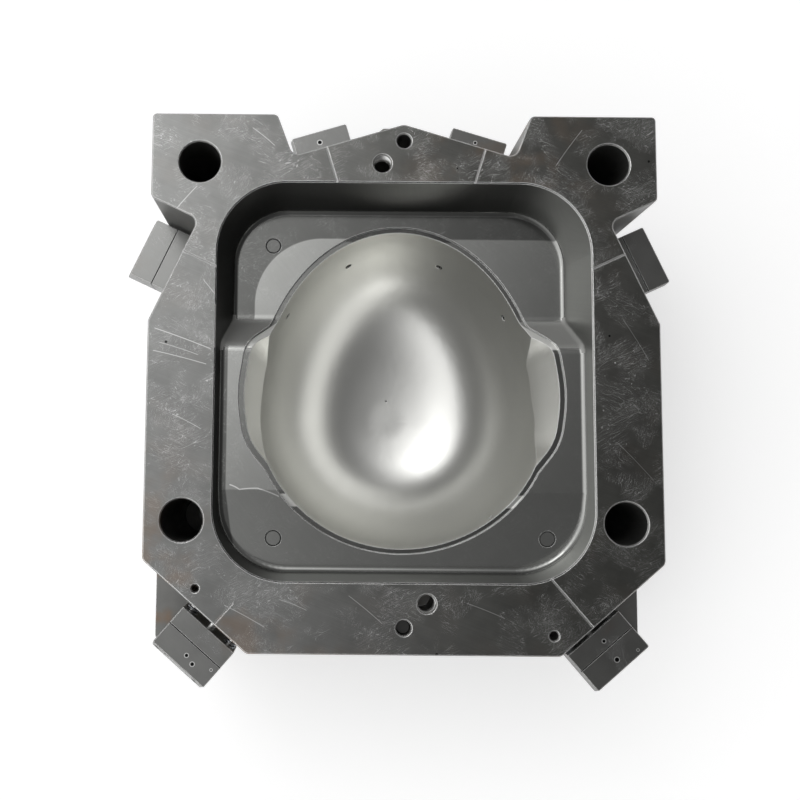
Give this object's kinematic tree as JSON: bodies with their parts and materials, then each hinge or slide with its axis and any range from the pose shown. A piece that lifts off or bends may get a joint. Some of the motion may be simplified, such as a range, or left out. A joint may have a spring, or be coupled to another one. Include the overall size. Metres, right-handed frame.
{
  "type": "injection mould cavity half",
  "caption": "Cavity half of an injection mould for a helmet shell: deep polished bowl in a stepped pocket, corner guide bores and sprung side cores round the edge.",
  "frame": {"origin": "centre of the locating ring on the clamping face", "axes": "+Z out of the parting face, +Y towards the peaked side with the two ears, +X to the right when the cavity is looked into"},
  "size_m": [0.5956, 0.6171, 0.286],
  "materials": {
    "mould_steel": "machined tool steel, polished in the bowl",
    "plate_steel": "ground plate steel",
    "side_core_steel": "ground tool steel with sharp bright edges",
    "ground_steel": "hardened and ground",
    "spring_steel": "drawn spring wire",
    "brass_plug": "turned brass",
    "black_screw": "blackened screw steel"
  },
  "bodies": {
    "mould_half": {"cavity_block": "mould_steel", "clamp_plate": "plate_steel", "clamp_screws": "black_screw", "cooling_plugs": "brass_plug", "face_dowel": "ground_steel", "floor_plug_1": "mould_steel", "floor_plug_2": "mould_steel", "floor_plug_3": "mould_steel", "guide_bush_1": "ground_steel", "guide_bush_2": "ground_steel", "guide_bush_3": "ground_steel", "guide_bush_4": "ground_steel", "locating_ring": "plate_steel", "plate_dowels": "ground_steel", "ring_screws": "black_screw", "shoulder_bolts_bottom_left": "black_screw", "shoulder_bolts_bottom_right": "black_screw", "shoulder_bolts_middle_left": "black_screw", "shoulder_bolts_middle_right": "black_screw", "shoulder_bolts_top_left": "black_screw", "shoulder_bolts_top_right": "black_screw", "springs_bottom_left": "spring_steel", "springs_bottom_right": "spring_steel", "springs_middle_left": "spring_steel", "springs_middle_right": "spring_steel", "springs_top_left": "spring_steel", "springs_top_right": "spring_steel", "sprue_bush": "plate_steel"},
    "side_core_top_left": {"retainer_top_left": "side_core_steel", "heel_block_top_left": "side_core_steel", "core_pin_top_left": "ground_steel", "join_screws_top_left": "black_screw"},
    "side_core_top_right": {"retainer_top_right": "side_core_steel", "heel_block_top_right": "side_core_steel", "core_pin_top_right": "ground_steel", "join_screws_top_right": "black_screw"},
    "side_core_middle_left": {"retainer_middle_left": "side_core_steel", "heel_block_middle_left": "side_core_steel", "core_pin_middle_left": "ground_steel", "join_screws_middle_left": "black_screw"},
    "side_core_middle_right": {"retainer_middle_right": "side_core_steel", "heel_block_middle_right": "side_core_steel", "core_pin_middle_right": "ground_steel", "join_screws_middle_right": "black_screw"},
    "side_core_bottom_left": {"retainer_bottom_left": "side_core_steel", "heel_block_bottom_left": "side_core_steel", "core_pin_bottom_left": "ground_steel", "join_screws_bottom_left": "black_screw"},
    "side_core_bottom_right": {"retainer_bottom_right": "side_core_steel", "heel_block_bottom_right": "side_core_steel", "core_pin_bottom_right": "ground_steel", "join_screws_bottom_right": "black_screw"}
  },
  "joints": [
    {"name": "slide_top_left", "type": "slide", "parent": "mould_half", "child": "side_core_top_left", "axis": [-0.2882, 0.9576, 0], "range_m": [-0.01, 0], "stiffness_N_per_m": 6000, "springref_m": 0.002, "deforming": ["springs_top_left"]},
    {"name": "slide_top_right", "type": "slide", "parent": "mould_half", "child": "side_core_top_right", "axis": [0.2882, 0.9576, 0], "range_m": [-0.01, 0], "stiffness_N_per_m": 6000, "springref_m": 0.002, "deforming": ["springs_top_right"]},
    {"name": "slide_middle_left", "type": "slide", "parent": "mould_half", "child": "side_core_middle_left", "axis": [-0.9063, 0.4226, 0], "range_m": [-0.01, 0], "stiffness_N_per_m": 6000, "springref_m": 0.002, "deforming": ["springs_middle_left"]},
    {"name": "slide_middle_right", "type": "slide", "parent": "mould_half", "child": "side_core_middle_right", "axis": [0.9063, 0.4226, 0], "range_m": [-0.01, 0], "stiffness_N_per_m": 6000, "springref_m": 0.002, "deforming": ["springs_middle_right"]},
    {"name": "slide_bottom_left", "type": "slide", "parent": "mould_half", "child": "side_core_bottom_left", "axis": [-0.6561, -0.7547, 0], "range_m": [-0.01, 0], "stiffness_N_per_m": 6000, "springref_m": 0.002, "deforming": ["springs_bottom_left"]},
    {"name": "slide_bottom_right", "type": "slide", "parent": "mould_half", "child": "side_core_bottom_right", "axis": [0.6561, -0.7547, 0], "range_m": [-0.01, 0], "stiffness_N_per_m": 6000, "springref_m": 0.002, "deforming": ["springs_bottom_right"]}
  ]
}
